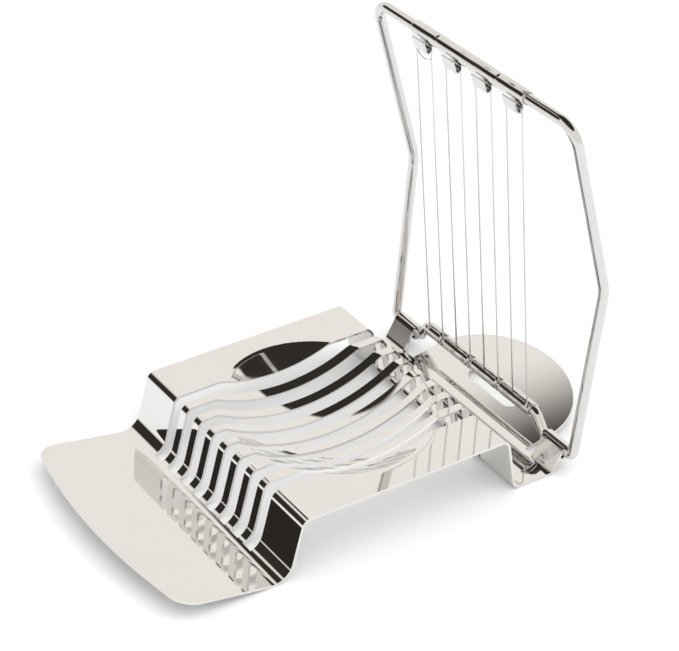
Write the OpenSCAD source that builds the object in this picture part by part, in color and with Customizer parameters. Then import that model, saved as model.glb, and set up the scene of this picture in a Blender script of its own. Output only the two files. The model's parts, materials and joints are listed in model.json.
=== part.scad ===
// Egg slicer: a bent sheet base with a slotted egg dish, and a hinged harp of cutting wire.
// X runs from the front tab to the hinge and rear tab, Y across the slicer, Z up.
// The origin is on the table, half-way along the base and half-way across it.

/* [Base] */
// Overall length of the base, front tab to rear tab
base_len = 148; // [140:1:178]
// Width of the base
base_w = 80; // [72:1:96]
// Thickness of the steel sheet
sheet_t = 0.7; // [0.5:0.05:1.0]
// Height of the deck's upper face above the table
deck_top = 17.2; // [15:0.2:21]
// Distance from the front edge to the foot of the front riser
front_tab_len = 35.2; // [30:0.5:42]
// Length of the deck from shoulder to shoulder
deck_len = 63.8; // [60:0.5:76]
// Length of the flat trough behind the deck, up to the ears' bend
trough_len = 12.4; // [11:0.2:16]
// Upward tilt of the two tabs, in degrees
tab_tilt = 10.5; // [6:0.5:12]
// Slope of the front riser, in degrees
front_riser_slope = 74.5; // [68:0.5:82]
// Slope of the rear riser, in degrees
rear_riser_slope = 81; // [74:0.5:86]
// Bend radius at the foot of the front riser
foot_bend = 6; // [4:0.5:7]
// Bend radius at the other folds of the sheet
fold_bend = 2.6; // [1.5:0.1:3]

/* [Tabs] */
// Radius of the front tab's corners
front_corner_r = 7; // [4:0.5:12]
// How far the front edge bulges forward between its corners
front_bulge = 3.2; // [0:0.2:5]
// Width of the rear tab
rear_tab_w = 54; // [45:1:56]
// Length of the rear tab's rounded end
rear_round_len = 20; // [14:0.5:22]
// Length of the hanging hole across the rear tab
hang_hole_len = 22; // [14:1:30]
// Width of the hanging hole
hang_hole_w = 7.2; // [5:0.2:8]
// Distance from the ears' bend to the hanging hole
hang_hole_back = 7.1; // [6:0.1:8]

/* [Dish] */
// Depth of the egg dish below the deck
dish_depth = 8.2; // [6:0.2:9]
// Length of the dish along the slots, at the deck
dish_len = 56; // [48:1:58]
// Width of the dish across the slots, at the deck
dish_w = 65; // [56:1:68]

/* [Slots and wires] */
// Number of cutting wires, each with its own slot
wire_count = 8; // [4:2:10]
// Distance from wire to wire
wire_pitch = 6.66; // [5.5:0.1:8]
// Diameter of the cutting wire
wire_d = 0.45; // [0.3:0.05:0.8]
// How far the wire lies in front of the plane of the harp's two bars
wire_from_plane = 1; // [0:0.1:1.5]
// Gap between a wire and each side of its slot
slot_side_gap = 1.77; // [1.2:0.05:2]
// Height above the table at which the slots end
slot_end_z = 2; // [1.4:0.1:3]

/* [Harp] */
// Overall height with the harp upright
overall_h = 110; // [100:1:132]
// Diameter of the harp's rod
rod_d = 3; // [2.5:0.1:3.6]
// Radial running clearance of the rod in the rolled ears
hinge_clearance = 0.08; // [0.02:0.01:0.1]
// Height of the hinge axis above the table
hinge_h = 5.4; // [5:0.1:7]
// Width of each rolled ear
ear_w = 9; // [6:0.5:11]
// Gap from an ear's inner edge to the bend of the harp's crank
ear_gap = 0.4; // [0.2:0.1:1]
// Slope of the ears, in degrees
ear_slope = 60; // [50:1:70]
// Gap from an ear's outer edge to the harp's leg
leg_gap = 0.7; // [0.4:0.1:2]
// How much wider the harp is at each side of its top than at its hinge
harp_flare = 1.5; // [0:0.1:4]
// Height of the kink in the legs above the hinge axis
kink_h = 51.2; // [44:0.2:58]
// How far the legs bow to the rear at the kink
kink_back = 6; // [3:0.2:9]
// How far the top bar leans forward of the hinge
top_lean = 7.2; // [2:0.2:12]
// Height of the lower crossbar above the hinge axis
crank_h = 5.1; // [4.6:0.1:6]
// Bend radius of the harp's top corners
top_corner_r = 6; // [4:0.5:12]
// Bend radius of the kinks in the legs
kink_bend = 12; // [6:1:20]

/* [Combs] */
// Thickness of the strips that wrap the harp's rod
strip_t = 0.6; // [0.4:0.05:0.8]
// How far each comb strip runs past the outermost wire
strip_overhang = 1.2; // [0.8:0.1:2]
// Width of a hook on the upper comb
hook_w = 5.4; // [4:0.1:6]
// How far a hook reaches below the wrapped bar
hook_len = 2.8; // [2.5:0.1:4.5]
// Forward lean of a hook's leaf, in degrees
hook_lean = 12; // [4:1:20]
// Height of a hook's leaf at its tip
hook_tip_h = 4.2; // [3:0.1:4.6]
// Height of a hook's leaf at its low side
hook_low_h = 1.4; // [1.2:0.1:2.5]
// Width of the notches that let the wire through the lower comb
notch_w = 1.4; // [0.9:0.1:2]

/* [Hidden] */

$fn = 48;
fit_gap = 0.02;                       // between a comb strip and the rod it is wrapped on
cut_margin = 1;                       // how far a cutting tool runs past what it cuts
rod_r = rod_d / 2;
half_t = sheet_t / 2;
half_w = base_w / 2;

// Stations along X, all measured from the front edge of the base
front_x = -base_len / 2;
rear_x = base_len / 2;
front_foot_x = front_x + front_tab_len;
deck_z = deck_top - half_t;           // middle of the deck's sheet
foot_turn = tab_tilt + front_riser_slope;
// The arc at the front foot dips to the table, so its corner lies below it
foot_z = half_t + foot_bend * (1 - cos(tab_tilt)) - foot_bend * tan(foot_turn / 2) * sin(tab_tilt);
front_shoulder_x = front_foot_x + (deck_z - foot_z) / tan(front_riser_slope);
rear_shoulder_x = front_shoulder_x + deck_len;
rear_foot_x = rear_shoulder_x + (deck_z - half_t) / tan(rear_riser_slope);
ear_bend_x = rear_foot_x + trough_len;
tab_bend_run = 1.5;                   // from the ears' bend to the rear tab's bend
tab_bend_x = ear_bend_x + tab_bend_run;
tab_fold = 3 * fold_bend;             // bend radius where the rear tab turns up
ear_fold = 0.8 * fold_bend;           // bend radius where the ears turn up
sheet_end = 5;                        // how far the folded strip runs past its cut outline

// Ears and hinge
bore_r = rod_r + hinge_clearance;
roll_r = bore_r + half_t;             // middle of the rolled sheet
ear_run = (hinge_h - half_t + roll_r * cos(ear_slope)) / sin(ear_slope);
hinge_x = ear_bend_x + ear_run * cos(ear_slope) + roll_r * sin(ear_slope);
roll_open_from = 90 + ear_slope;      // the roll's mouth, as angles about the hinge
roll_open_to = 222;
mouth_reach = 4 * rod_d;              // how far the cut for the mouth reaches
notch_gap = 0.6;                      // from the ears' bend to the notch between them
notch_front_x = ear_bend_x + notch_gap;

// Harp
wrap_in_r = rod_r + fit_gap;
wrap_out_r = wrap_in_r + strip_t;
half_strip = strip_t / 2;
top_z = overall_h - wrap_out_r;
top_x = hinge_x - top_lean;
lean = atan2(top_lean, top_z - hinge_h);
kink_x = hinge_x + kink_back;
kink_z = hinge_h + kink_h;
crank_x = hinge_x - crank_h * sin(lean);
crank_z = hinge_h + crank_h * cos(lean);

// Wires and combs
wire_r = wire_d / 2;
first_wire_y = (wire_count - 1) / 2 * wire_pitch;
slot_w = wire_d + 2 * slot_side_gap;
strip_half = first_wire_y + strip_overhang;
hook_count = wire_count / 2;
hook_turn = 0.9;                      // bend radius of a hook's crook
hook_tip_w = 1.6;                     // width of a leaf at its tip
hook_tip_drop = 0.2;                  // how far the slanting edge meets the tip's side below its top
hook_cut_front = 4 * hook_turn;       // how far in front of the wire the slanting cut starts
hook_cut_run = 3.6 * hook_turn;       // and how far back it reaches
hook_floor = wrap_out_r + hook_len;   // from the top bar's axis down to a hook's underside
wire_drop = hook_floor - strip_t - wire_r - fit_gap;   // and down to the wire's bends

function wire_y(i) = first_wire_y - i * wire_pitch;

// Across the slicer, from the middle: lower comb, crank, ear, leg
kink_flare_share = 0.8;               // part of the flare that a leg has at its kink
inner_bend_r = 0.5;                   // inside radius of the bend from the hinge rod to a leg
leg_bend = rod_r + inner_bend_r;
inner_crank_r = 0.9;                  // inside radius of the crank's two bends
crank_bend = rod_r + inner_crank_r;
crank_slant = 56;                     // slope of the crank between its two bends
comb_gap = 0.09;                      // least gap from the lower comb's end to the crank
crank_tangent = crank_bend * tan(crank_slant / 2);
crank_run = 2 * crank_tangent + crank_h / tan(crank_slant);
// The ears are flush with the base's sides, unless comb and crank need more room
ear_inner_y = max(half_w - ear_w, strip_half + comb_gap + crank_run + ear_gap);
ear_outer_y = ear_inner_y + ear_w;
crank_low_y = ear_inner_y - ear_gap - crank_tangent;
crank_high_y = crank_low_y - crank_h / tan(crank_slant);
leg_foot_y = ear_outer_y + leg_gap + rod_r;
leg_kink_y = leg_foot_y + kink_flare_share * harp_flare;
leg_top_y = leg_foot_y + harp_flare;

// Points of an outline's corner, rounded by an arc of radius r that starts at angle a0
function arc(cx, cy, r, a0, a1, steps) =
    [for (k = [0 : steps]) let (a = a0 + (a1 - a0) * k / steps) [cx + r * cos(a), cy + r * sin(a)]];

// Corner of a folded centre line, rounded between the points before and after it
function unit(v) = v / norm(v);
function heading(a, b) = atan2(b[1] - a[1], b[0] - a[0]);
function fold_points(p, q, s, r) =
    let (
        a_in = heading(p, q),
        a_out = heading(q, s),
        turn = (a_out - a_in + 540) % 360 - 180,
        side = sign(turn),
        reach = r * tan(abs(turn) / 2),
        start = q - reach * unit(q - p),
        centre = start + side * r * [-sin(a_in), cos(a_in)],
        steps = max(2, ceil(abs(turn) / 13))
    )
    [for (k = [0 : steps]) let (a = a_in - side * 90 + turn * k / steps) centre + r * [cos(a), sin(a)]];

function rounded_line(v, radii) = [
    v[0],
    for (i = [1 : len(v) - 2]) each fold_points(v[i - 1], v[i], v[i + 1], radii[i]),
    v[len(v) - 1]
];

// Outline of a sheet of thickness t along a centre line
function side_normal(v, i) =
    let (
        a = unit(v[min(i + 1, len(v) - 1)] - v[min(i, len(v) - 2)]),
        b = unit(v[max(i, 1)] - v[max(i - 1, 0)]),
        m = unit(a + b)
    )
    [-m[1], m[0]] / (m * a);
function sheet_outline(v, t) = concat(
    [for (i = [0 : len(v) - 1]) v[i] + t / 2 * side_normal(v, i)],
    [for (i = [len(v) - 1 : -1 : 0]) v[i] - t / 2 * side_normal(v, i)]
);

base_line = rounded_line(
    [
        [front_x - sheet_end, foot_z + (front_tab_len + sheet_end) * tan(tab_tilt)],
        [front_foot_x, foot_z],
        [front_shoulder_x, deck_z],
        [rear_shoulder_x, deck_z],
        [rear_foot_x, half_t],
        [tab_bend_x, half_t],
        [rear_x + sheet_end, half_t + (rear_x + sheet_end - tab_bend_x) * tan(tab_tilt)]
    ],
    [0, foot_bend, fold_bend, fold_bend, fold_bend, tab_fold, 0]
);

ear_line = rounded_line(
    [
        [rear_foot_x + 2 * fold_bend, half_t],
        [ear_bend_x, half_t],
        [ear_bend_x + ear_run * cos(ear_slope), half_t + ear_run * sin(ear_slope)]
    ],
    [0, ear_fold, 0]
);

// One side of the base's outline seen from above, from the front edge to the rear tip
function front_edge_x(y) = front_x + front_bulge * pow(y / (half_w - front_corner_r), 2);
function half_outline() = concat(
    [for (k = [0 : 6]) let (y = k * (half_w - front_corner_r) / 6) [front_edge_x(y), y]],
    arc(front_x + front_bulge + front_corner_r, half_w - front_corner_r, front_corner_r, 172, 90, 6),
    [[ear_line[0][0] + cut_margin, half_w], [ear_line[0][0] + cut_margin, ear_inner_y],
     [notch_front_x, ear_inner_y]],
    [[notch_front_x, rear_tab_w / 2]],
    [for (k = [0 : 12]) let (a = 90 - k * 7.5)
        [rear_x - rear_round_len + rear_round_len * cos(a), rear_tab_w / 2 * sin(a)]]
);
function mirrored(v) = [for (i = [len(v) - 1 : -1 : 0]) [v[i][0], -v[i][1]]];

// Extrudes an outline drawn in X and Z across the slicer, from y0 to y1
module across(y0, y1) {
    translate([0, y1, 0]) rotate([90, 0, 0]) linear_extrude(y1 - y0) children();
}

// The surface of the dish: an arc turned about an axis that lies across the slicer
dish_x = (front_shoulder_x + rear_shoulder_x) / 2;
dish_r = (pow(dish_len / 2, 2) + pow(dish_depth, 2)) / (2 * dish_depth);
dish_axis_z = deck_top - dish_depth + dish_r;
dish_arc_r = (pow(dish_w / 2, 2) + pow(dish_depth, 2)) / (2 * dish_depth);
module dish_form(extra) {
    reach = asin(dish_w / 2 / dish_arc_r) + 4;
    translate([dish_x, 0, dish_axis_z]) rotate([90, 0, 0])
        rotate_extrude($fn = 96)
            polygon(concat(
                [[0, -dish_arc_r * sin(reach)]],
                [for (k = [-8 : 8]) let (a = reach * k / 8)
                    [dish_r - dish_arc_r + (dish_arc_r + extra) * cos(a), dish_arc_r * sin(a)]],
                [[0, dish_arc_r * sin(reach)]]
            ));
}

module folded_sheet() {
    intersection() {
        across(-half_w, half_w) polygon(sheet_outline(base_line, sheet_t));
        linear_extrude(deck_top + cut_margin)
            polygon(concat(half_outline(), mirrored(half_outline())));
    }
}

module dish_shell() {
    intersection() {
        dish_form(sheet_t);
        translate([front_shoulder_x, -half_w, 0]) cube([deck_len, base_w, deck_top]);
    }
}

module ear(side) {
    y0 = side > 0 ? ear_inner_y : -ear_outer_y;
    across(y0, y0 + ear_w) {
        polygon(sheet_outline(ear_line, sheet_t));
        translate([hinge_x, hinge_h]) difference() {
            circle(bore_r + sheet_t);
            circle(bore_r);
            polygon([
                [0, 0],
                mouth_reach * [cos(roll_open_from), sin(roll_open_from)],
                mouth_reach * [cos(roll_open_to), sin(roll_open_to)]
            ]);
        }
    }
}

slot_run_out = 2.4;                   // how far the slots run into the front tab
slot_front_x = front_foot_x - slot_run_out;
slot_rear_x = rear_foot_x - (slot_end_z - half_t) / tan(rear_riser_slope) + half_t;
module slots() {
    for (i = [0 : wire_count - 1])
        translate([slot_front_x, wire_y(i) - slot_w / 2, -cut_margin])
            cube([slot_rear_x - slot_front_x, slot_w, deck_top + 2 * cut_margin]);
}

module hanging_hole() {
    x = ear_bend_x + hang_hole_back + hang_hole_w / 2;
    y = (hang_hole_len - hang_hole_w) / 2;
    for (s = [-1, 1]) translate([x, s * y, -cut_margin]) cylinder(d = hang_hole_w, h = deck_top);
    translate([x - hang_hole_w / 2, -y, -cut_margin]) cube([hang_hole_w, 2 * y, deck_top]);
}

module base_plate() {
    color([0.91, 0.89, 0.87]) {
        difference() {
            union() {
                folded_sheet();
                dish_shell();
            }
            dish_form(0);
            slots();
            hanging_hole();
        }
        for (side = [-1, 1]) ear(side);
    }
}

// A round rod along a closed loop of points, with a bend of its own radius at each point.
// The rod swells very slightly in a bend, and each straight runs a little way into it.
bend_swell = 0.02;
straight_lap = 0.1;
function bend_reach(a, b, c, r) = r * tan(acos(unit(b - a) * unit(c - b)) / 2);
module rod_between(p, q, r) {
    v = q - p;
    translate(p) rotate([0, acos(v[2] / norm(v)), atan2(v[1], v[0])]) cylinder(r = r, h = norm(v));
}
module rod_bend(a, b, c, bend, r) {
    u = unit(b - a);
    w = unit(c - b);
    axis = unit(cross(u, w));
    inward = cross(axis, u);
    translate(b - bend_reach(a, b, c, bend) * u + bend * inward)
        rotate([atan2(u[2], axis[2]), asin(inward[2]), atan2(-inward[1], -inward[0])])
            rotate_extrude(angle = acos(u * w)) translate([bend, 0]) circle(r + bend_swell);
}
module rod_loop(pts, bends, r) {
    n = len(pts);
    for (i = [0 : n - 1]) {
        a = pts[(i + n - 1) % n];
        b = pts[i];
        c = pts[(i + 1) % n];
        d = pts[(i + 2) % n];
        along = unit(c - b);
        rod_bend(a, b, c, bends[i], r);
        rod_between(
            b + (bend_reach(a, b, c, bends[i]) - straight_lap) * along,
            c - (bend_reach(b, c, d, bends[(i + 1) % n]) - straight_lap) * along,
            r
        );
    }
}

harp_side = [
    [top_x, leg_top_y, top_z],
    [kink_x, leg_kink_y, kink_z],
    [hinge_x, leg_foot_y, hinge_h],
    [hinge_x, crank_low_y, hinge_h],
    [crank_x, crank_high_y, crank_z]
];
harp_bends = [top_corner_r, kink_bend, leg_bend, crank_bend, crank_bend];
module harp_frame() {
    last = len(harp_side) - 1;
    color([0.80, 0.80, 0.79])
        rod_loop(
            concat(harp_side, [for (i = [last : -1 : 0]) [harp_side[i][0], -harp_side[i][1], harp_side[i][2]]]),
            concat(harp_bends, [for (i = [last : -1 : 0]) harp_bends[i]]),
            rod_r
        );
}

// A strip wrapped round a bar that lies across the slicer
module wrap(x, z) {
    translate([x, 0, z]) across(-strip_half, strip_half) difference() {
        circle(wrap_out_r);
        circle(wrap_in_r);
    }
}

// A hook under the top bar: it goes down behind the wire, turns forward, and rises as a leaf.
// The leaf is cut aslant, from its tip on the far side to its low side.
hook_line = rounded_line(
    [
        [-wire_from_plane + hook_turn, -wrap_in_r - half_strip],
        [-wire_from_plane + hook_turn, half_strip - hook_floor],
        [-wire_from_plane - hook_turn, half_strip - hook_floor],
        [-wire_from_plane - hook_turn - hook_tip_h * tan(hook_lean), hook_tip_h - hook_floor]
    ],
    [0, hook_turn - fit_gap, hook_turn - fit_gap, 0]
);
module hook() {
    rotate([0, -lean, 0]) difference() {
        across(-hook_w / 2, hook_w / 2) polygon(sheet_outline(hook_line, strip_t));
        translate([-wire_from_plane - hook_cut_front, 0, -hook_floor]) rotate([90, 0, 90])
            linear_extrude(hook_cut_run) polygon([
                [-hook_w / 2 - cut_margin, hook_low_h],
                [-hook_w / 2, hook_low_h],
                [hook_w / 2 - hook_tip_w, hook_tip_h - hook_tip_drop],
                [hook_w / 2 - hook_tip_w, hook_floor],
                [-hook_w / 2 - cut_margin, hook_floor]
            ]);
    }
}

module upper_comb() {
    color([0.85, 0.84, 0.82]) {
        wrap(top_x, top_z);
        for (i = [0 : hook_count - 1])
            translate([top_x, (wire_y(2 * i) + wire_y(2 * i + 1)) / 2, top_z]) hook();
    }
}

module lower_comb() {
    color([0.72, 0.71, 0.68]) difference() {
        wrap(crank_x, crank_z);
        for (i = [1 : 2 : wire_count - 2])
            translate([crank_x - 2 * wrap_out_r, wire_y(i) - notch_w / 2, crank_z])
                cube([2 * wrap_out_r, notch_w, 2 * wrap_out_r]);
    }
}

// A point in the harp's leaning plane: so far up it from the hinge, and so far in front of it
function harp_point(along, front, y) = [
    hinge_x - along * sin(lean) - front * cos(lean), y,
    hinge_h + along * cos(lean) - front * sin(lean)
];
// The wire turns in the crook of the hooks above, and over the front of the lower comb
wire_high = norm([top_lean, top_z - hinge_h]) - wire_drop;
wire_low = crank_h + sqrt(pow(wrap_out_r + wire_r + fit_gap, 2) - pow(wire_from_plane, 2));
module cutting_wire() {
    $fn = 16;
    color([0.78, 0.78, 0.77]) for (i = [0 : wire_count - 1]) {
        low = harp_point(wire_low, wire_from_plane, wire_y(i));
        high = harp_point(wire_high, wire_from_plane, wire_y(i));
        turn = i % 2 == 0 ? high : low;
        rod_between(low, high, wire_r);
        for (end = [low, high]) translate(end) sphere(wire_r + bend_swell);
        if (i < wire_count - 1) rod_between(turn, turn - [0, wire_pitch, 0], wire_r);
    }
}

base_plate();
harp_frame();
upper_comb();
lower_comb();
cutting_wire();
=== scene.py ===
"""Egg slicer: a folded sheet base with a slotted dish, and a hinged harp of cutting wire.

Every size is in millimetres in the classes and becomes metres through MM. X runs from the
front tab to the hinge, Y across the slicer and Z up, from the table under the base's middle.
"""

import json
import logging
import math
from dataclasses import dataclass, field
from enum import Enum
from typing import Callable

import bmesh
import bpy
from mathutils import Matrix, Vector, noise


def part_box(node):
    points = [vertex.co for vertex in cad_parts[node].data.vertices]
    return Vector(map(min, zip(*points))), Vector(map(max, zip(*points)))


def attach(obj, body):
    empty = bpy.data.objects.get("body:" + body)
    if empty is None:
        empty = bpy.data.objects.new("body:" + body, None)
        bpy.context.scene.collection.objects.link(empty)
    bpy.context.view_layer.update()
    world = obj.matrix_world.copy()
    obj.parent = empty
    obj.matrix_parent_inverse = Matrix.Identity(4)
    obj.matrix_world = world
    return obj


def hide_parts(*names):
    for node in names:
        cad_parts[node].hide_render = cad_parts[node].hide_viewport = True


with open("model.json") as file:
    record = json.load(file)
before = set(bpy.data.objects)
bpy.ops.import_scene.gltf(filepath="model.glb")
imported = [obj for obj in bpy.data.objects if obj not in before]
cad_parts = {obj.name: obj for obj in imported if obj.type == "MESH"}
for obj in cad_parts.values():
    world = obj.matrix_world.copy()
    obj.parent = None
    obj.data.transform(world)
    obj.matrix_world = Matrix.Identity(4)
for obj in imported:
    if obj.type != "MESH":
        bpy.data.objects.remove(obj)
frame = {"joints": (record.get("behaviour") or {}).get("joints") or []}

MM = 0.001
LOG = logging.getLogger("egg_slicer")
Point = tuple[float, float]


class Body(Enum):
    """The two bodies of the record."""

    BASE = "base"
    HARP = "harp"


class Slot(Enum):
    """The record's material slots."""

    SHEET = "polished_sheet"
    ROD = "bright_rod"
    STRIP = "comb_strip"
    WIRE = "drawn_wire"


# ---------------------------------------------------------------------------
# Shop tools
# ---------------------------------------------------------------------------


def clear_selection() -> None:
    """Leaves object mode with nothing selected."""
    if bpy.context.object and bpy.context.object.mode != "OBJECT":
        bpy.ops.object.mode_set(mode="OBJECT")
    bpy.ops.object.select_all(action="DESELECT")


def take_up(piece: bpy.types.Object) -> None:
    """Makes a piece the only selected and active one."""
    clear_selection()
    piece.select_set(True)
    bpy.context.view_layer.objects.active = piece


def name_new(name: str) -> bpy.types.Object:
    """Names the primitive just added, and its mesh.

    Args:
        name: the piece's name.

    Returns:
        The named object.
    """
    piece = bpy.context.object
    piece.name = piece.data.name = name
    return piece


def settle(piece: bpy.types.Object) -> None:
    """Puts a piece's object at the origin, with its place in its mesh."""
    take_up(piece)
    bpy.ops.object.transform_apply(location=True, rotation=True, scale=True)


def place_points(piece: bpy.types.Object, put: Callable[[Vector], Vector]) -> None:
    """Moves every point of a mesh to where a rule puts it."""
    for vertex in piece.data.vertices:
        vertex.co = put(vertex.co)
    piece.data.update()


def delete_faces(piece: bpy.types.Object, unwanted: Callable[[Vector], bool]) -> None:
    """Deletes the faces whose middle lies where a rule says.

    Args:
        piece: the mesh object.
        unwanted: tells from a face's centre whether it goes.
    """
    take_up(piece)
    bpy.ops.object.mode_set(mode="EDIT")
    bpy.ops.mesh.select_all(action="DESELECT")
    bpy.ops.object.mode_set(mode="OBJECT")
    for face in piece.data.polygons:
        face.select = bool(unwanted(face.center))
    bpy.ops.object.mode_set(mode="EDIT")
    bpy.ops.mesh.select_mode(type="FACE")
    bpy.ops.mesh.delete(type="FACE")
    bpy.ops.object.mode_set(mode="OBJECT")


def weld(piece: bpy.types.Object, within: float = 1e-6, outward: bool = True) -> None:
    """Merges doubled points and, if asked, turns the faces outward."""
    take_up(piece)
    bpy.ops.object.mode_set(mode="EDIT")
    bpy.ops.mesh.select_all(action="SELECT")
    bpy.ops.mesh.remove_doubles(threshold=within)
    if outward:
        bpy.ops.mesh.normals_make_consistent(inside=False)
    bpy.ops.object.mode_set(mode="OBJECT")


def apply_last(piece: bpy.types.Object, modifier: bpy.types.Modifier) -> None:
    """Applies a modifier to its piece."""
    take_up(piece)
    bpy.ops.object.modifier_apply(modifier=modifier.name)


def thicken(piece: bpy.types.Object, thickness: float, offset: float = 0.0) -> None:
    """Gives a sheet its thickness.

    Args:
        piece: an open sheet.
        thickness: in metres.
        offset: where the sheet lies in the thickness, from -1 to 1.
    """
    wall = piece.modifiers.new("wall", "SOLIDIFY")
    wall.thickness = thickness
    wall.offset = offset
    wall.use_even_offset = True
    apply_last(piece, wall)


def ease_edges(piece: bpy.types.Object, width: float, angle: float, segments: int = 2) -> None:
    """Rounds the sharp edges of a piece slightly."""
    bevel = piece.modifiers.new("eased", "BEVEL")
    bevel.width = width
    bevel.segments = segments
    bevel.limit_method = "ANGLE"
    bevel.angle_limit = math.radians(angle)
    bevel.use_clamp_overlap = True
    apply_last(piece, bevel)


def smooth(piece: bpy.types.Object, angle: float = 40.0) -> None:
    """Shades a piece smoothly up to an angle between its faces."""
    take_up(piece)
    bpy.ops.object.shade_smooth_by_angle(angle=math.radians(angle))


def join(pieces: list[bpy.types.Object]) -> bpy.types.Object:
    """Joins pieces into the first of them, and returns it."""
    clear_selection()
    for piece in pieces:
        piece.select_set(True)
    bpy.context.view_layer.objects.active = pieces[0]
    if len(pieces) > 1:
        bpy.ops.object.join()
    return pieces[0]


def cut_with(piece: bpy.types.Object, tool: bpy.types.Object, operation: str) -> None:
    """Cuts a piece with a closed tool and removes the tool.

    Args:
        piece: what is cut.
        tool: the cutter.
        operation: DIFFERENCE or INTERSECT.
    """
    cut = piece.modifiers.new("cut", "BOOLEAN")
    cut.operation = operation
    cut.solver = "EXACT"
    cut.object = tool
    apply_last(piece, cut)
    bpy.data.objects.remove(tool)


def add_grid(name: str, rows: int, columns: int) -> bpy.types.Object:
    """Adds a grid whose X counts rows from 0 and whose Y counts columns from 0.

    Args:
        name: the piece's name.
        rows: cells along X.
        columns: cells along Y.

    Returns:
        The grid, one unit to a cell.
    """
    clear_selection()
    bpy.ops.mesh.primitive_grid_add(x_subdivisions=rows, y_subdivisions=columns, size=2)
    grid = name_new(name)
    place_points(
        grid,
        lambda p: Vector((round((p.x + 1) / 2 * rows), round((p.y + 1) / 2 * columns), 0.0)),
    )
    return grid


def spread(marks: list[float], step: float) -> list[float]:
    """Stations through every mark, no more than a step apart."""
    out = [marks[0]]
    for here, there in zip(marks, marks[1:]):
        cells = max(1, math.ceil((there - here) / step - 1e-6))
        out += [here + (there - here) * k / cells for k in range(1, cells + 1)]
    return out


def ease(value: float) -> float:
    """A smooth step from 0 to 1."""
    value = min(1.0, max(0.0, value))
    return value * value * (3 - 2 * value)


# ---------------------------------------------------------------------------
# Folded lines and swept bars
# ---------------------------------------------------------------------------


@dataclass
class FoldedLine:
    """A centre line in X and Z, folded at its corners with a radius at each."""

    corners: list[Point]
    radii: list[float]
    parts: list[tuple] = field(default_factory=list)
    length: float = 0.0

    def __post_init__(self) -> None:
        """Splits the line into straights and arcs."""
        at = Vector(self.corners[0])
        for k in range(1, len(self.corners)):
            corner = Vector(self.corners[k])
            along = (corner - Vector(self.corners[k - 1])).normalized()
            if k == len(self.corners) - 1:
                self._add_straight(at, corner)
                break
            after = (Vector(self.corners[k + 1]) - corner).normalized()
            turn = math.atan2(along.x * after.y - along.y * after.x, along.dot(after))
            reach = self.radii[k] * math.tan(abs(turn) / 2)
            start = corner - along * reach
            self._add_straight(at, start)
            side = math.copysign(1.0, turn)
            centre = start + Vector((-along.y, along.x)) * side * self.radii[k]
            first = math.atan2(start.y - centre.y, start.x - centre.x)
            size = self.radii[k] * abs(turn)
            self.parts.append(("arc", centre, self.radii[k], first, side, self.length, size))
            self.length += size
            at = corner + after * reach

    def _add_straight(self, start: Vector, end: Vector) -> None:
        """Adds a straight part."""
        size = (end - start).length
        self.parts.append(("straight", start, end, None, None, self.length, size))
        self.length += size

    def at(self, s: float) -> Point:
        """The point at a length along the line."""
        for kind, a, b, first, side, begin, size in self.parts:
            if s <= begin + size + 1e-9 or (kind, a) == self.parts[-1][:2]:
                run = s - begin
                if kind == "straight":
                    spot = a + (b - a) * (run / size if size else 0.0)
                    return spot.x, spot.y
                angle = first + side * run / b
                return a.x + b * math.cos(angle), a.y + b * math.sin(angle)
        raise ValueError(f"{s} is past the end of the line")

    def marks(self) -> list[float]:
        """Lengths at which a straight or an arc begins or ends."""
        return [part[5] for part in self.parts] + [self.length]

    def stations(self, straight_step: float, arc_step: float) -> list[float]:
        """Lengths for rows: wide apart on straights and close in bends.

        Args:
            straight_step: the most between rows on a straight.
            arc_step: the most between rows in a bend.

        Returns:
            The lengths, in order.
        """
        out = [0.0]
        for kind, _, _, _, _, begin, size in self.parts:
            if size > 1e-6:
                step = straight_step if kind == "straight" else arc_step
                out += spread([begin, begin + size], step)[1:]
        return out

    def length_at_x(self, x: float) -> float:
        """The first length along the line at which it reaches an X."""
        low, high = 0.0, self.length
        for _ in range(60):
            middle = (low + high) / 2
            if self.at(middle)[0] < x:
                low = middle
            else:
                high = middle
        return (low + high) / 2


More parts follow.
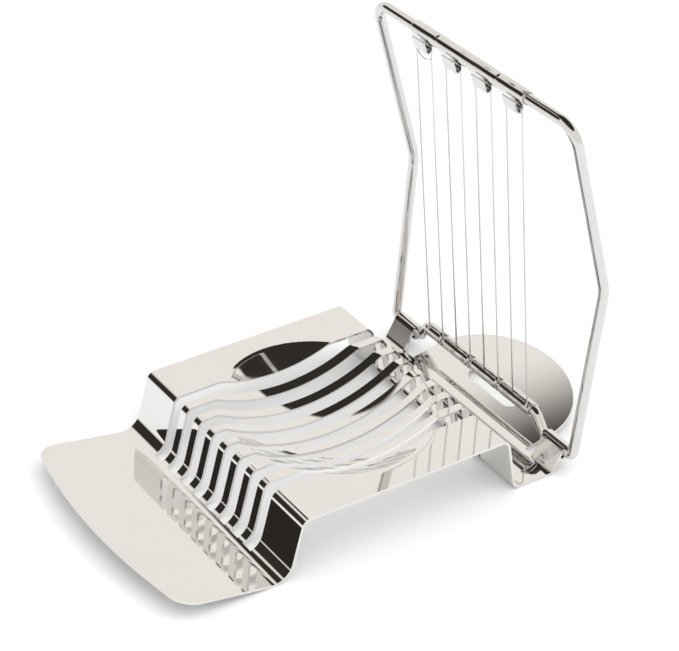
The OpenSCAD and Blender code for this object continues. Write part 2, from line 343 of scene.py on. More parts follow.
@dataclass
class BentBar:
    """A round bar along points, spun round a bend at each corner."""

    name: str
    points: list[Vector]
    bends: list[float]
    radius: float
    closed: bool = False
    sides: int = 24
    degrees_per_step: float = 9.0

    def _corner(self, k: int) -> tuple[Vector, Vector, float, float]:
        """Directions in and out of a corner, its turn and its reach."""
        n = len(self.points)
        before, here, after = (self.points[(k + d) % n] for d in (-1, 0, 1))
        into = (here - before).normalized()
        out = (after - here).normalized()
        turn = into.angle(out)
        return into, out, turn, self.bends[k % n] * math.tan(turn / 2)

    def build(self) -> bpy.types.Object:
        """Extrudes and spins a ring along the points.

        Returns:
            The bar, closed, in metres.
        """
        n = len(self.points)
        if self.closed:
            start = (self.points[0] + self.points[-1]) / 2
            order = list(range(n))
            final = start
        else:
            start = self.points[0]
            order = list(range(1, n - 1))
            final = self.points[-1]
        first = (self.points[order[0]] - start).normalized()
        clear_selection()
        bpy.ops.mesh.primitive_circle_add(
            vertices=self.sides,
            radius=self.radius * MM,
            location=start * MM,
            rotation=first.to_track_quat("Z", "Y").to_euler(),
        )
        bar = name_new(self.name)
        bpy.ops.object.transform_apply(location=True, rotation=True, scale=True)
        bpy.ops.object.mode_set(mode="EDIT")
        # A bare ring has no face, so it can only be picked by its vertices
        bpy.ops.mesh.select_mode(type="VERT")
        bpy.ops.mesh.select_all(action="SELECT")
        at = start
        for k in order:
            into, out, turn, reach = self._corner(k)
            self._run(at, self.points[k] - into * reach)
            at = self.points[k] + out * reach
            if turn < 1e-4:
                continue
            axis = into.cross(out).normalized()
            centre = self.points[k] - into * reach + axis.cross(into) * self.bends[k % n]
            bpy.ops.mesh.spin(
                steps=max(2, round(math.degrees(turn) / self.degrees_per_step)),
                angle=-turn,
                center=centre * MM,
                axis=axis,
            )
        self._run(at, final)
        bpy.ops.mesh.select_all(action="SELECT")
        bpy.ops.mesh.remove_doubles(threshold=1e-6)
        if not self.closed:
            bpy.ops.mesh.fill_holes(sides=0)
        bpy.ops.mesh.select_all(action="SELECT")
        bpy.ops.mesh.normals_make_consistent(inside=False)
        bpy.ops.object.mode_set(mode="OBJECT")
        # A closed loop of quads has as many faces as vertices, and an open chain has fewer
        if self.closed and len(bar.data.polygons) != len(bar.data.vertices):
            raise RuntimeError(f"{self.name}: the loop is open")
        return bar

    def _run(self, start: Vector, end: Vector) -> None:
        """Extrudes the ring along a straight."""
        if (end - start).length > 1e-6:
            bpy.ops.mesh.extrude_region_move(
                TRANSFORM_OT_translate={"value": tuple((end - start) * MM)}
            )


# ---------------------------------------------------------------------------
# Finishes
# ---------------------------------------------------------------------------


@dataclass(frozen=True)
class SteelFinish:
    """Bright steel: a metal with soft smudges, faint polishing lines and wiped patches.

    The lines run along X, Y or Z by the stretch given for each axis.
    """

    name: str
    tint: tuple[float, float, float]
    smudge_tint: tuple[float, float, float]
    roughness: tuple[float, float]
    smudge_scale: float
    line_scale: tuple[float, float, float]
    line_depth: float
    ripple_scale: float
    ripple_depth: float

    def make(self) -> bpy.types.Material:
        """Builds the material's nodes.

        Returns:
            The material.
        """
        steel = bpy.data.materials.new(self.name)
        steel.use_nodes = True
        nodes, links = steel.node_tree.nodes, steel.node_tree.links
        shader = nodes["Principled BSDF"]
        shader.inputs["Metallic"].default_value = 1.0
        place = nodes.new("ShaderNodeTexCoord")

        smudge = nodes.new("ShaderNodeTexNoise")
        smudge.inputs["Scale"].default_value = self.smudge_scale
        smudge.inputs["Detail"].default_value = 5.0
        links.new(place.outputs["Object"], smudge.inputs["Vector"])

        stretch = nodes.new("ShaderNodeMapping")
        stretch.inputs["Scale"].default_value = self.line_scale
        lines = nodes.new("ShaderNodeTexNoise")
        lines.inputs["Scale"].default_value = 1.0
        lines.inputs["Detail"].default_value = 3.0
        links.new(place.outputs["Object"], stretch.inputs["Vector"])
        links.new(stretch.outputs["Vector"], lines.inputs["Vector"])

        colour = nodes.new("ShaderNodeMix")
        colour.data_type = "RGBA"
        colour.inputs["A"].default_value = (*self.tint, 1.0)
        colour.inputs["B"].default_value = (*self.smudge_tint, 1.0)
        links.new(smudge.outputs["Fac"], colour.inputs["Factor"])
        links.new(colour.outputs["Result"], shader.inputs["Base Color"])

        both = nodes.new("ShaderNodeMath")
        both.operation = "MULTIPLY"
        links.new(smudge.outputs["Fac"], both.inputs[0])
        links.new(lines.outputs["Fac"], both.inputs[1])
        gloss = nodes.new("ShaderNodeMapRange")
        gloss.inputs["From Min"].default_value = 0.15
        gloss.inputs["From Max"].default_value = 0.45
        gloss.inputs["To Min"].default_value = self.roughness[0]
        gloss.inputs["To Max"].default_value = self.roughness[1]
        links.new(both.outputs["Value"], gloss.inputs["Value"])
        links.new(gloss.outputs["Result"], shader.inputs["Roughness"])

        ripple = nodes.new("ShaderNodeTexNoise")
        ripple.inputs["Scale"].default_value = self.ripple_scale
        ripple.inputs["Detail"].default_value = 1.0
        links.new(place.outputs["Object"], ripple.inputs["Vector"])
        wave = nodes.new("ShaderNodeBump")
        wave.inputs["Strength"].default_value = 1.0
        wave.inputs["Distance"].default_value = self.ripple_depth
        links.new(ripple.outputs["Fac"], wave.inputs["Height"])
        scratch = nodes.new("ShaderNodeBump")
        scratch.inputs["Strength"].default_value = 1.0
        scratch.inputs["Distance"].default_value = self.line_depth
        links.new(lines.outputs["Fac"], scratch.inputs["Height"])
        links.new(wave.outputs["Normal"], scratch.inputs["Normal"])
        links.new(scratch.outputs["Normal"], shader.inputs["Normal"])
        return steel


SHEET = SteelFinish(
    "polished_sheet", (0.78, 0.77, 0.755), (0.745, 0.735, 0.72), (0.025, 0.07),
    60.0, (60.0, 2500.0, 60.0), 1.2e-7, 35.0, 4.0e-6,
)
ROD = SteelFinish(
    "bright_rod", (0.70, 0.69, 0.68), (0.65, 0.64, 0.63), (0.05, 0.11),
    90.0, (1800.0, 120.0, 120.0), 1.5e-7, 60.0, 3.0e-6,
)
STRIP = SteelFinish(
    "comb_strip", (0.72, 0.71, 0.70), (0.67, 0.66, 0.65), (0.06, 0.15),
    120.0, (1500.0, 90.0, 1500.0), 3.0e-7, 260.0, 1.6e-5,
)
WIRE = SteelFinish(
    "drawn_wire", (0.70, 0.70, 0.69), (0.64, 0.64, 0.63), (0.14, 0.26),
    150.0, (4000.0, 4000.0, 60.0), 3.0e-7, 100.0, 1.0e-6,
)


def finish_piece(
    piece: bpy.types.Object, material: bpy.types.Material, slot: Slot, body: Body, *nodes: str
) -> bpy.types.Object:
    """Dresses a piece, and ties it to its body and the nodes it stands for.

    Args:
        piece: the finished mesh.
        material: its finish.
        slot: the record's slot; not used.
        body: what it rides on.
        nodes: the CAD nodes it replaces.

    Returns:
        The piece.
    """
    piece.data.materials.clear()
    piece.data.materials.append(material)
    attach(piece, body.value)
    if nodes:
        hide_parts(*nodes)
    LOG.info("%s: %d faces", piece.name, len(piece.data.polygons))
    return piece


# ---------------------------------------------------------------------------
# Base
# ---------------------------------------------------------------------------


@dataclass
class BasePlate:
    """The base: one sheet, slotted, pressed into a dish, folded and rolled into two ears."""

    length: float = 148.0
    half_width: float = 40.0
    sheet: float = 0.7
    deck_top: float = 17.2
    front_tab: float = 35.2
    deck_length: float = 63.8
    trough: float = 12.4
    tab_tilt: float = 10.5
    front_slope: float = 74.5
    rear_slope: float = 81.0
    foot_bend: float = 6.0
    fold_bend: float = 2.6
    corner_radius: float = 7.0
    front_bulge: float = 3.2
    rear_tab_half: float = 27.0
    rear_round: float = 20.0
    hole_length: float = 22.0
    hole_width: float = 7.2
    hole_back: float = 7.1
    dish_depth: float = 8.2
    dish_length: float = 56.0
    dish_width: float = 65.0
    rim_softness: float = 0.35
    wires: int = 8
    pitch: float = 6.66
    slot_width: float = 3.99
    slot_end_height: float = 2.0
    ear_inner: float = 31.0
    ear_slope: float = 60.0
    bore: float = 1.58
    roll_opens: float = 150.0
    roll_ends: float = -138.0
    hinge_height: float = 5.4

    def __post_init__(self) -> None:
        """Works out the stations along X from the front edge, and the folded lines."""
        low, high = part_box("base_plate")
        self.front_x = low.x / MM
        self.rear_x = high.x / MM
        half = self.sheet / 2
        tilt = math.radians(self.tab_tilt)
        slope = math.radians(self.front_slope)
        turn = tilt + slope
        foot_z = (
            half + self.foot_bend * (1 - math.cos(tilt))
            - self.foot_bend * math.tan(turn / 2) * math.sin(tilt)
        )
        self.deck_z = self.deck_top - half
        foot_x = self.front_x + self.front_tab
        self.foot_x = foot_x
        self.front_shoulder = foot_x + (self.deck_z - foot_z) / math.tan(slope)
        self.rear_shoulder = self.front_shoulder + self.deck_length
        rear = math.radians(self.rear_slope)
        self.rear_foot = self.rear_shoulder + (self.deck_z - half) / math.tan(rear)
        self.ear_bend = self.rear_foot + self.trough
        tab_bend = self.ear_bend + 1.5
        spare = 3.0
        run = self.front_tab + spare
        back = self.rear_x + spare
        self.line = FoldedLine(
            [
                (self.front_x - spare, foot_z + run * math.tan(tilt)),
                (foot_x, foot_z),
                (self.front_shoulder, self.deck_z),
                (self.rear_shoulder, self.deck_z),
                (self.rear_foot, half),
                (tab_bend, half),
                (back, half + (back - tab_bend) * math.tan(tilt)),
            ],
            [0, self.foot_bend, self.fold_bend, self.fold_bend, self.fold_bend,
             3 * self.fold_bend, 0],
        )
        self.roll = self.bore + half
        ear = math.radians(self.ear_slope)
        rise = (self.hinge_height - half + self.roll * math.cos(ear)) / math.sin(ear)
        self.hinge_x = self.ear_bend + rise * math.cos(ear) + self.roll * math.sin(ear)
        self.notch_x = self.ear_bend + 0.6
        self.ear_begins = self.line.length_at_x(self.rear_foot + 2 * self.fold_bend)
        start = self.line.at(self.ear_begins)
        self.ear_line = FoldedLine(
            [
                start,
                (self.ear_bend, half),
                (self.ear_bend + rise * math.cos(ear), half + rise * math.sin(ear)),
            ],
            [0, self.fold_bend * 0.8, 0],
        )
        self.roll_size = self.roll * math.radians(self.roll_opens - self.roll_ends)
        self.dish_x = (self.front_shoulder + self.rear_shoulder) / 2
        deep, long_, wide = self.dish_depth, self.dish_length / 2, self.dish_width / 2
        self.dish_radius = (long_ ** 2 + deep ** 2) / (2 * deep)
        self.dish_axis = self.deck_top - deep + self.dish_radius
        self.dish_arc = (wide ** 2 + deep ** 2) / (2 * deep)

    def slot_centres(self) -> list[float]:
        """Where the slots' middles lie across the base."""
        return [(k - (self.wires - 1) / 2) * self.pitch for k in range(self.wires)]

    def ear_point(self, s: float) -> Point:
        """The ear's centre line and roll, at a length from the ear's start."""
        if s <= self.ear_line.length:
            return self.ear_line.at(s)
        angle = math.radians(self.roll_opens) - (s - self.ear_line.length) / self.roll
        return (
            self.hinge_x + self.roll * math.cos(angle),
            self.hinge_height + self.roll * math.sin(angle),
        )

    def pressed_height(self, x: float, y: float) -> float:
        """Height of the deck's sheet where the dish is pressed into it.

        Args:
            x: place along the deck.
            y: place across it.

        Returns:
            The height of the middle of the sheet, with a soft rim.
        """
        lean = y / self.dish_arc
        if abs(lean) >= 1:
            return self.deck_z
        radius = (
            self.dish_radius - self.dish_arc + self.dish_arc * math.sqrt(1 - lean * lean)
            + self.sheet / 2
        )
        reach = radius * radius - (x - self.dish_x) ** 2
        if reach <= 0:
            return self.deck_z
        dish = self.dish_axis - math.sqrt(reach)
        gap = max(self.rim_softness - abs(dish - self.deck_z), 0.0)
        return min(dish, self.deck_z) - gap * gap / (4 * self.rim_softness)

    def lay_blank(self) -> bpy.types.Object:
        """Lays out the flat blank on stations that meet every slot and fold."""
        half_slot = self.slot_width / 2
        marks = {0.0, self.rear_tab_half, self.ear_inner, self.half_width}
        for y in self.slot_centres():
            if y > 0:
                marks |= {y - half_slot, y + half_slot}
        side = spread(sorted(marks), 0.75)
        self.across = [-y for y in reversed(side[1:])] + side
        slot_front = self.line.length_at_x(self.foot_x - 2.4)
        slope = math.radians(self.rear_slope)
        slot_rear = self.line.length_at_x(
            self.rear_foot - (self.slot_end_height - self.sheet / 2) / math.tan(slope)
        )
        self.slot_span = (slot_front, slot_rear)
        along = self.line.stations(0.8, 0.35)
        for extra in (slot_front, slot_rear, self.ear_begins, self.line.length_at_x(self.notch_x)):
            nearest = min(range(1, len(along) - 1), key=lambda k: abs(along[k] - extra))
            along[nearest] = extra
        self.along = sorted(along)
        blank = add_grid("base_plate_sheet", len(self.along) - 1, len(self.across) - 1)
        place_points(
            blank, lambda p: Vector((self.along[round(p.x)], self.across[round(p.y)], 0.0))
        )
        return blank

    def cut_blank(self, blank: bpy.types.Object) -> None:
        """Cuts the slots and the notches beside the ears."""
        half_slot = self.slot_width / 2
        notch = self.line.length_at_x(self.notch_x)

        def is_open(middle: Vector) -> bool:
            """Tells whether a face lies in a slot or a notch."""
            in_slot = self.slot_span[0] < middle.x < self.slot_span[1] and any(
                abs(middle.y - y) < half_slot for y in self.slot_centres()
            )
            beside = middle.x > notch and self.rear_tab_half < abs(middle.y) < self.ear_inner
            return in_slot or beside

        delete_faces(blank, is_open)

    def fold_blank(self, blank: bpy.types.Object) -> None:
        """Presses the dish, folds the sheet and rolls the ears."""
        notch = self.line.length_at_x(self.notch_x)
        ear_total = self.ear_line.length + self.roll_size
        ear_notch = notch - self.ear_begins

        def fold(flat: Vector) -> Vector:
            """Where a point of the flat blank goes."""
            s, y = flat.x, flat.y
            if abs(y) > self.ear_inner - 1e-6 and s > notch - 1e-9:
                share = (s - notch) / (self.line.length - notch)
                x, z = self.ear_point(ear_notch + share * (ear_total - ear_notch))
                return Vector((x, y, z)) * MM
            x, z = self.line.at(s)
            if self.front_shoulder + 1 < x < self.rear_shoulder - 1 and z > self.deck_z - 0.5:
                z = self.pressed_height(x, y)
            return Vector((x, y, z)) * MM

        place_points(blank, fold)

    def outline_tool(self) -> bpy.types.Object:
        """A prism over the base's outline, which trims the corners of the tabs."""
        edge = self.half_width - self.corner_radius
        side = [
            (self.front_x + self.front_bulge * (k / 24) ** 2, edge * k / 24) for k in range(25)
        ]
        centre_x = self.front_x + self.front_bulge + self.corner_radius
        side += [
            (
                centre_x + self.corner_radius * math.cos(math.radians(a)),
                edge + self.corner_radius * math.sin(math.radians(a)),
            )
            for a in range(172, 86, -4)
        ]
        past_ear = self.hinge_x + self.roll + 1.0
        side += [
            (centre_x, self.half_width + 0.5), (past_ear, self.half_width + 0.5),
            (past_ear, self.ear_inner - 1), (self.notch_x + 0.4, self.ear_inner - 1),
            (self.notch_x + 0.4, self.rear_tab_half + 0.02),
        ]
        side += [
            (
                self.rear_x - self.rear_round + self.rear_round * math.cos(math.radians(a)),
                self.rear_tab_half * math.sin(math.radians(a)),
            )
            for a in range(90, -1, -3)
        ]
        loop = side + [(x, -y) for x, y in reversed(side[1:-1])]
        mesh = bpy.data.meshes.new("outline")
        shape = bmesh.new()
        ring = [shape.verts.new((x * MM, y * MM, -5 * MM)) for x, y in loop]
        face = shape.faces.new(ring)
        lifted = bmesh.ops.extrude_face_region(shape, geom=[face])["geom"]
        bmesh.ops.translate(
            shape, vec=(0, 0, 40 * MM),
            verts=[g for g in lifted if isinstance(g, bmesh.types.BMVert)],
        )
        bmesh.ops.recalc_face_normals(shape, faces=shape.faces)
        shape.to_mesh(mesh)
        shape.free()
        tool = bpy.data.objects.new("outline", mesh)
        bpy.context.collection.objects.link(tool)
        return tool

    def hole_tool(self) -> bpy.types.Object:
        """A round-ended prism for the hanging hole."""
        clear_selection()
        x = self.ear_bend + self.hole_back + self.hole_width / 2
        bpy.ops.mesh.primitive_cylinder_add(
            vertices=64, radius=self.hole_width / 2 * MM, depth=30 * MM,
            location=(x * MM, 0, 3 * MM),
        )
        tool = name_new("hole")
        reach = (self.hole_length - self.hole_width) / 2 * MM
        for vertex in tool.data.vertices:
            if abs(vertex.co.y) > 1e-7:
                vertex.co.y += math.copysign(reach, vertex.co.y)
        settle(tool)
        return tool

    def build(self, steel: bpy.types.Material) -> bpy.types.Object:
        """Makes the base in the order a press shop would.

        Args:
            steel: the sheet's finish.

        Returns:
            The finished base.
        """
        blank = self.lay_blank()
        self.cut_blank(blank)
        self.fold_blank(blank)
        thicken(blank, self.sheet * MM)
        cut_with(blank, self.outline_tool(), "INTERSECT")
        cut_with(blank, self.hole_tool(), "DIFFERENCE")
        weld(blank, 2e-6, outward=False)
        smooth(blank, 32)
        return finish_piece(blank, steel, Slot.SHEET, Body.BASE, "base_plate")


# ---------------------------------------------------------------------------
# Harp
# ---------------------------------------------------------------------------


@dataclass
class HarpPlane:
    """The leaning plane of the harp, measured up it from the hinge axis."""

    hinge_x: float
    hinge_z: float
    top_x: float
    top_z: float

    def __post_init__(self) -> None:
        """Works out the lean."""
        self.height = math.hypot(self.hinge_x - self.top_x, self.top_z - self.hinge_z)
        self.lean = math.atan2(self.hinge_x - self.top_x, self.top_z - self.hinge_z)

    def point(self, up: float, front: float, y: float) -> Vector:
        """A point so far up the plane, so far in front of it and so far across."""
        return Vector((
            self.hinge_x - up * math.sin(self.lean) - front * math.cos(self.lean),
            y,
            self.hinge_z + up * math.cos(self.lean) - front * math.sin(self.lean),
        ))


@dataclass
class Harp:
    """The harp: a bent rod, two rolled combs and one length of cutting wire."""

    rod: float = 1.5
    strip: float = 0.6
    fit: float = 0.02
    lean_over: float = 7.2
    kink_height: float = 51.2
    kink_back: float = 6.0
    crank_height: float = 5.1
    leg_foot: float = 42.2
    leg_kink: float = 43.4
    leg_top: float = 43.7
    crank_low: float = 29.324
    crank_high: float = 25.884
    comb_half: float = 24.51
    wires: int = 8
    pitch: float = 6.66
    wire: float = 0.225
    wire_front: float = 1.0
    hook_width: float = 5.4
    hook_depth: float = 2.8
    hook_turn: float = 0.9
    hook_lean: float = 12.0
    hook_tip: float = 4.2
    hook_low: float = 1.4
    hook_tip_width: float = 1.6
    notch: float = 1.4
    corner_bend: float = 6.0
    kink_bend: float = 12.0
    leg_bend: float = 2.0
    crank_bend: float = 2.4
    wire_bend: float = 0.45
    wire_seat: float = 0.05
    wire_rest: float = 0.03
    slack_share: float = 0.85
    crimp_reach: float = 0.3
    crimp_depth: float = 0.10
    swell: float = 0.035
    leaf_corner: float = 1.3
    leaf_corner_drop: float = 1.1
    leaf_cup: float = 0.16

    def __post_init__(self) -> None:
        """Places the harp's plane from the hinge and the comb's top."""
        hinge = frame["joints"][0]["pos_m"]
        self.outer = self.rod + self.fit + self.strip
        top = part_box("upper_comb")[1].z / MM
        self.plane = HarpPlane(
            hinge[0] / MM, hinge[2] / MM, hinge[0] / MM - self.lean_over, top - self.outer
        )

    def wire_y(self, k: int) -> float:
        """Where a wire lies across the slicer, from the far side."""
        return ((self.wires - 1) / 2 - k) * self.pitch

    def build_rod(self, steel: bpy.types.Material) -> bpy.types.Object:
        """Bends the rod: top bar, kinked legs, hinge ends, cranks and lower bar."""
        plane = self.plane
        crank = plane.point(self.crank_height, 0, 0)
        side = [
            Vector((plane.top_x, self.leg_top, plane.top_z)),
            Vector((plane.hinge_x + self.kink_back, self.leg_kink,
                    plane.hinge_z + self.kink_height)),
            Vector((plane.hinge_x, self.leg_foot, plane.hinge_z)),
            Vector((plane.hinge_x, self.crank_low, plane.hinge_z)),
            Vector((crank.x, self.crank_high, crank.z)),
        ]
        bends = [
            self.corner_bend, self.kink_bend, self.leg_bend, self.crank_bend, self.crank_bend
        ]
        points = side + [Vector((p.x, -p.y, p.z)) for p in reversed(side)]
        rod = BentBar("harp_rod", points, bends + bends[::-1], self.rod, True, 32, 6.0).build()
        smooth(rod, 60)
        return finish_piece(rod, steel, Slot.ROD, Body.HARP, "harp_frame")

    def roll_strip(
        self, name: str, up: float, seam: float, crimps: list[float], opened: Callable
    ) -> bpy.types.Object:
        """Rolls a strip round one of the bars.

        Args:
            name: the piece's name.
            up: the bar's height in the harp's plane.
            seam: angle of the strip's seam, in degrees from the front, upward.
            crimps: places across the comb where the strip is nipped.
            opened: tells from an angle and a place across whether a face is cut out.

        Returns:
            The rolled strip.
        """
        turns, gap = 48, 6.0
        across = spread([-self.comb_half, *sorted(crimps), self.comb_half], 0.35)
        strip = add_grid(name, turns, len(across) - 1)
        cell = (360 - gap) / turns
        delete_faces(
            strip,
            lambda m: opened(
                (seam + gap / 2 + cell * m.x) % 360,
                across[int(m.y)] / 2 + across[int(m.y) + 1] / 2,
            ),
        )
        middle = self.rod + self.fit + self.strip / 2

        def roll(flat: Vector) -> Vector:
            """Where a point of the flat strip goes round the bar."""
            angle = math.radians(seam + gap / 2 + cell * flat.x)
            y = across[round(flat.y)]
            nip = sum(math.exp(-(((y - c) / self.crimp_reach) ** 2)) for c in crimps)
            spot = Vector((math.cos(angle) * 0.7, y * 0.35, math.sin(angle) * 0.7 + up))
            swell = self.swell * noise.noise(spot)
            radius = middle - self.crimp_depth * nip + swell - self.swell
            return self.plane.point(
                up + radius * math.sin(angle), radius * math.cos(angle), y
            ) * MM

        place_points(strip, roll)
        thicken(strip, (self.strip - 0.12) * MM)
        return strip

    def build_hook(self, y: float, name: str) -> bpy.types.Object:
        """Bends one hook under the top bar, with a leaf cut aslant.

        Args:
            y: the hook's middle across the slicer.
            name: its name.

        Returns:
            The hook, as a solid.
        """
        floor = self.outer + self.hook_depth
        half = self.strip / 2
        root = self.rod + self.fit + half
        back, ahead = -self.wire_front + self.hook_turn, -self.wire_front - self.hook_turn
        lean = self.hook_tip * math.tan(math.radians(self.hook_lean))
        line = FoldedLine(
            [(back, -root), (back, half - floor), (ahead, half - floor),
             (ahead - lean, self.hook_tip - floor)],
            [0, self.hook_turn - self.fit, self.hook_turn - self.fit, 0],
        )
        leaf_from = line.marks()[5]
        rows, columns = 30, 16
        hook = add_grid(name, rows, columns)
        width = self.hook_width

        def bend(flat: Vector) -> Vector:
            """Where a point of the flat hook goes."""
            v = flat.y / columns * 2 - 1
            s = line.length * flat.x / rows
            off = v * width / 2
            if s > leaf_from:
                rise = (off + width / 2) / (width - self.hook_tip_width)
                share = self.hook_low + (self.hook_tip - self.hook_low) * ease(rise * 0.96)
                corner = max(0.0, (off - width / 2 + self.leaf_corner) / self.leaf_corner)
                share -= self.leaf_corner_drop * corner * corner
                full = self.hook_tip
                s = leaf_from + (s - leaf_from) * max(0.12, (share - 0.6) / (full - 0.6))
            x, z = line.at(s)
            cup = self.leaf_cup * (1 - v * v) * ease((s - leaf_from) / 2)
            return self.plane.point(self.plane.height + z, -x + cup, y + off) * MM

        place_points(hook, bend)
        thicken(hook, (self.strip - 0.1) * MM)
        ease_edges(hook, 0.1 * MM, 50, 2)
        return hook

    def build_upper_comb(self, steel: bpy.types.Material) -> bpy.types.Object:
        """Rolls the upper comb's strip and adds its hooks."""
        crimps = [self.wire_y(1) - self.pitch / 2, self.wire_y(5) - self.pitch / 2]
        strip = self.roll_strip(
            "upper_comb_strip", self.plane.height, 214, crimps, lambda a, y: False
        )
        ease_edges(strip, 0.08 * MM, 50, 2)
        hooks = [
            self.build_hook((self.wire_y(2 * k) + self.wire_y(2 * k + 1)) / 2, f"hook_{k}")
            for k in range(self.wires // 2)
        ]
        comb = join([strip, *hooks])
        smooth(comb, 45)
        return finish_piece(comb, steel, Slot.STRIP, Body.HARP, "upper_comb")

    def build_lower_comb(self, steel: bpy.types.Material) -> bpy.types.Object:
        """Rolls the lower comb's strip, with notches that let the wire through."""
        places = [self.wire_y(k) for k in range(1, self.wires - 1, 2)]
        marks = [p + d for p in places for d in (-self.notch / 2, self.notch / 2)]

        def opened(angle: float, y: float) -> bool:
            """Tells whether a face lies in a notch, in front of and above the bar."""
            return 8 < angle < 96 and any(abs(y - p) < self.notch / 2 for p in places)

        strip = self.roll_strip("lower_comb_strip", self.crank_height, 250, marks, opened)
        ease_edges(strip, 0.08 * MM, 50, 2)
        smooth(strip, 45)
        return finish_piece(strip, steel, Slot.STRIP, Body.HARP, "lower_comb")

    def build_wire(self, steel: bpy.types.Material) -> bpy.types.Object:
        """Strings the wire between the combs, with its turns, tail and curl."""
        plane, front = self.plane, self.wire_front
        high = plane.height - (
            self.outer + self.hook_depth - self.strip - self.wire - self.wire_seat
        )
        reach = self.outer + self.wire + self.wire_rest
        low = self.crank_height + math.sqrt(reach ** 2 - front ** 2)
        points: list[Vector] = []
        for k in range(self.wires):
            ends = [plane.point(low, front, self.wire_y(k)),
                    plane.point(high, front, self.wire_y(k))]
            points += ends if k % 2 == 0 else ends[::-1]
        bends = [self.wire_bend] * len(points)
        first = plane.point(low - 0.9, front + 0.85, self.wire_y(0))
        last = plane.point(low - 0.9, front + 0.85, self.wire_y(self.wires - 1))
        strung = BentBar(
            "cutting_wire_strung", [first, *points, last], [0.0, *bends, 0.0],
            self.wire, False, 10, 18.0,
        ).build()
        hook = (self.wire_y(0) + self.wire_y(1)) / 2
        half_pitch = self.pitch / 2
        sag = [
            plane.point(high + 0.9, front + 0.1, hook + half_pitch + 0.5),
            plane.point(high - 0.6, front + 0.3, hook + half_pitch - 0.1),
            plane.point(high - 2.3, front + 0.5, hook + half_pitch - 2.3),
            plane.point(high - 2.9, front + 0.4, hook - half_pitch + 2.4),
            plane.point(high - 1.9, front + 0.1, hook - half_pitch - 0.15),
            plane.point(high + 0.3, front, hook - half_pitch + 0.1),
        ]
        tail = BentBar(
            "wire_tail", sag, [0, 1.4, 2.6, 2.4, 0.9, 0], self.wire * self.slack_share, False, 10, 12.0
        ).build()
        end = (self.wire_y(self.wires - 2) + self.wire_y(self.wires - 1)) / 2 - self.pitch / 2
        turn = [
            plane.point(high - 0.3, front + 0.1, end + 0.1),
            plane.point(high + 1.3, front + 0.6, end - 0.1),
            plane.point(high + 1.9, front + 0.9, end - 1.0),
            plane.point(high + 0.5, front + 1.0, end - 1.5),
            plane.point(high - 0.3, front + 0.5, end - 0.6),
        ]
        curl = BentBar(
            "wire_curl", turn, [0, 0.5, 0.55, 0.55, 0], self.wire * self.slack_share, False, 10, 15.0
        ).build()
        wire = join([strung, tail, curl])
        wire.name = wire.data.name = "cutting_wire_strung"
        smooth(wire, 60)
        return finish_piece(wire, steel, Slot.WIRE, Body.HARP, "cutting_wire")


# ---------------------------------------------------------------------------
# Studio
# ---------------------------------------------------------------------------


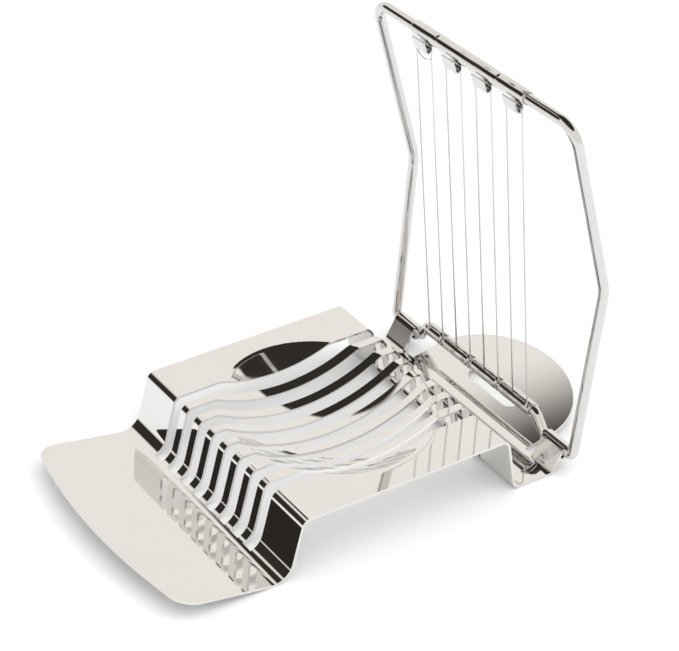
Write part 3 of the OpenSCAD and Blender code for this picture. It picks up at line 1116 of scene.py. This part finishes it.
@dataclass(frozen=True)
class Studio:
    """A plain pale floor under a soft bright surround with darker parts up high."""

    floor_size: float = 8.0
    floor_tint: tuple[float, float, float] = (0.93, 0.93, 0.93)
    wall: tuple[float, float, float] = (1.04, 1.00, 0.95)
    dark: tuple[float, float, float] = (0.035, 0.030, 0.026)
    wall_top: tuple[float, float] = (0.700, 0.726)
    flag_towards: tuple[float, float, float] = (-0.56, 0.71, 0.42)
    flag_edge: tuple[float, float] = (0.925, 0.962)
    lamp_power: float = 6.0
    lamp_size: float = 1.4

    def build(self) -> None:
        """Sets the surround, the lamp and the floor."""
        world = bpy.data.worlds.new("studio")
        bpy.context.scene.world = world
        world.use_nodes = True
        nodes, links = world.node_tree.nodes, world.node_tree.links
        nodes.clear()
        place = nodes.new("ShaderNodeTexCoord")
        split = nodes.new("ShaderNodeSeparateXYZ")
        links.new(place.outputs["Generated"], split.inputs["Vector"])
        ceiling = self._edge(nodes, links, split.outputs["Z"], self.wall_top)
        toward = nodes.new("ShaderNodeVectorMath")
        toward.operation = "DOT_PRODUCT"
        toward.inputs[1].default_value = Vector(self.flag_towards).normalized()
        links.new(place.outputs["Generated"], toward.inputs[0])
        flag = self._edge(nodes, links, toward.outputs["Value"], self.flag_edge)
        most = nodes.new("ShaderNodeMath")
        most.operation = "MAXIMUM"
        links.new(ceiling, most.inputs[0])
        links.new(flag, most.inputs[1])
        tone = nodes.new("ShaderNodeMix")
        tone.data_type = "RGBA"
        tone.inputs["A"].default_value = (*self.wall, 1)
        tone.inputs["B"].default_value = (*self.dark, 1)
        links.new(most.outputs["Value"], tone.inputs["Factor"])
        seen = nodes.new("ShaderNodeBackground")
        links.new(tone.outputs["Result"], seen.inputs["Color"])
        plain = nodes.new("ShaderNodeBackground")
        plain.inputs["Color"].default_value = (1, 1, 1, 1)
        plain.inputs["Strength"].default_value = 1.0
        path = nodes.new("ShaderNodeLightPath")
        choose = nodes.new("ShaderNodeMixShader")
        out = nodes.new("ShaderNodeOutputWorld")
        links.new(path.outputs["Is Glossy Ray"], choose.inputs["Fac"])
        links.new(plain.outputs["Background"], choose.inputs[1])
        links.new(seen.outputs["Background"], choose.inputs[2])
        links.new(choose.outputs["Shader"], out.inputs["Surface"])

        clear_selection()
        bpy.ops.object.light_add(type="AREA", location=(0.25, -0.5, 1.1))
        lamp = bpy.context.object
        lamp.name = "soft_lamp"
        lamp.data.energy = self.lamp_power
        lamp.data.size = self.lamp_size
        lamp.visible_glossy = False
        aim = Vector((0, 0, 0.02)) - lamp.location
        lamp.rotation_euler = aim.to_track_quat("-Z", "Y").to_euler()

        clear_selection()
        bpy.ops.mesh.primitive_plane_add(size=self.floor_size)
        floor = name_new("studio_floor")
        paint = bpy.data.materials.new("pale_floor")
        paint.use_nodes = True
        shader = paint.node_tree.nodes["Principled BSDF"]
        shader.inputs["Base Color"].default_value = (*self.floor_tint, 1)
        shader.inputs["Roughness"].default_value = 0.9
        shader.inputs["Specular IOR Level"].default_value = 0.1
        floor.data.materials.append(paint)

    @staticmethod
    def _edge(
        nodes: bpy.types.Nodes, links: bpy.types.NodeLinks, value: bpy.types.NodeSocket,
        limits: tuple[float, float],
    ) -> bpy.types.NodeSocket:
        """A soft edge from 0 to 1 between two limits of a value."""
        step = nodes.new("ShaderNodeMapRange")
        step.interpolation_type = "SMOOTHSTEP"
        step.inputs["From Min"].default_value = limits[0]
        step.inputs["From Max"].default_value = limits[1]
        links.new(value, step.inputs["Value"])
        return step.outputs["Result"]


@dataclass(frozen=True)
class StudioCamera:
    """A long lens, high on the slicer's front corner."""

    place: tuple[float, float, float] = (-0.28667, -0.44537, 0.38299)
    yaw: float = 57.0055
    pitch: float = 32.7642
    lens: float = 126.459

    def build(self) -> None:
        """Adds the camera and makes it the scene's."""
        clear_selection()
        bpy.ops.object.camera_add(
            location=self.place,
            rotation=(math.radians(90 - self.pitch), 0, math.radians(self.yaw - 90)),
        )
        camera = bpy.context.object
        camera.name = "studio_camera"
        camera.data.lens = self.lens
        camera.data.sensor_width = 36.0
        camera.data.clip_start = 0.01
        camera.data.clip_end = 50
        bpy.context.scene.camera = camera


def plain(corners: tuple[Vector, Vector]) -> list[list[float]]:
    """A box's two corners as lists of numbers."""
    return [list(corner) for corner in corners]


def main() -> None:
    """Builds the studio and the slicer."""
    logging.basicConfig(level=logging.INFO, format="%(name)s %(message)s")
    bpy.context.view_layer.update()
    StudioCamera().build()
    bpy.context.scene.view_settings.view_transform = "Standard"
    Studio().build()
    BasePlate().build(SHEET.make())
    harp = Harp()
    harp.build_rod(ROD.make())
    strip = STRIP.make()
    harp.build_upper_comb(strip)
    harp.build_lower_comb(strip)
    harp.build_wire(WIRE.make())
    clear_selection()


if __name__ == "__main__":
    main()
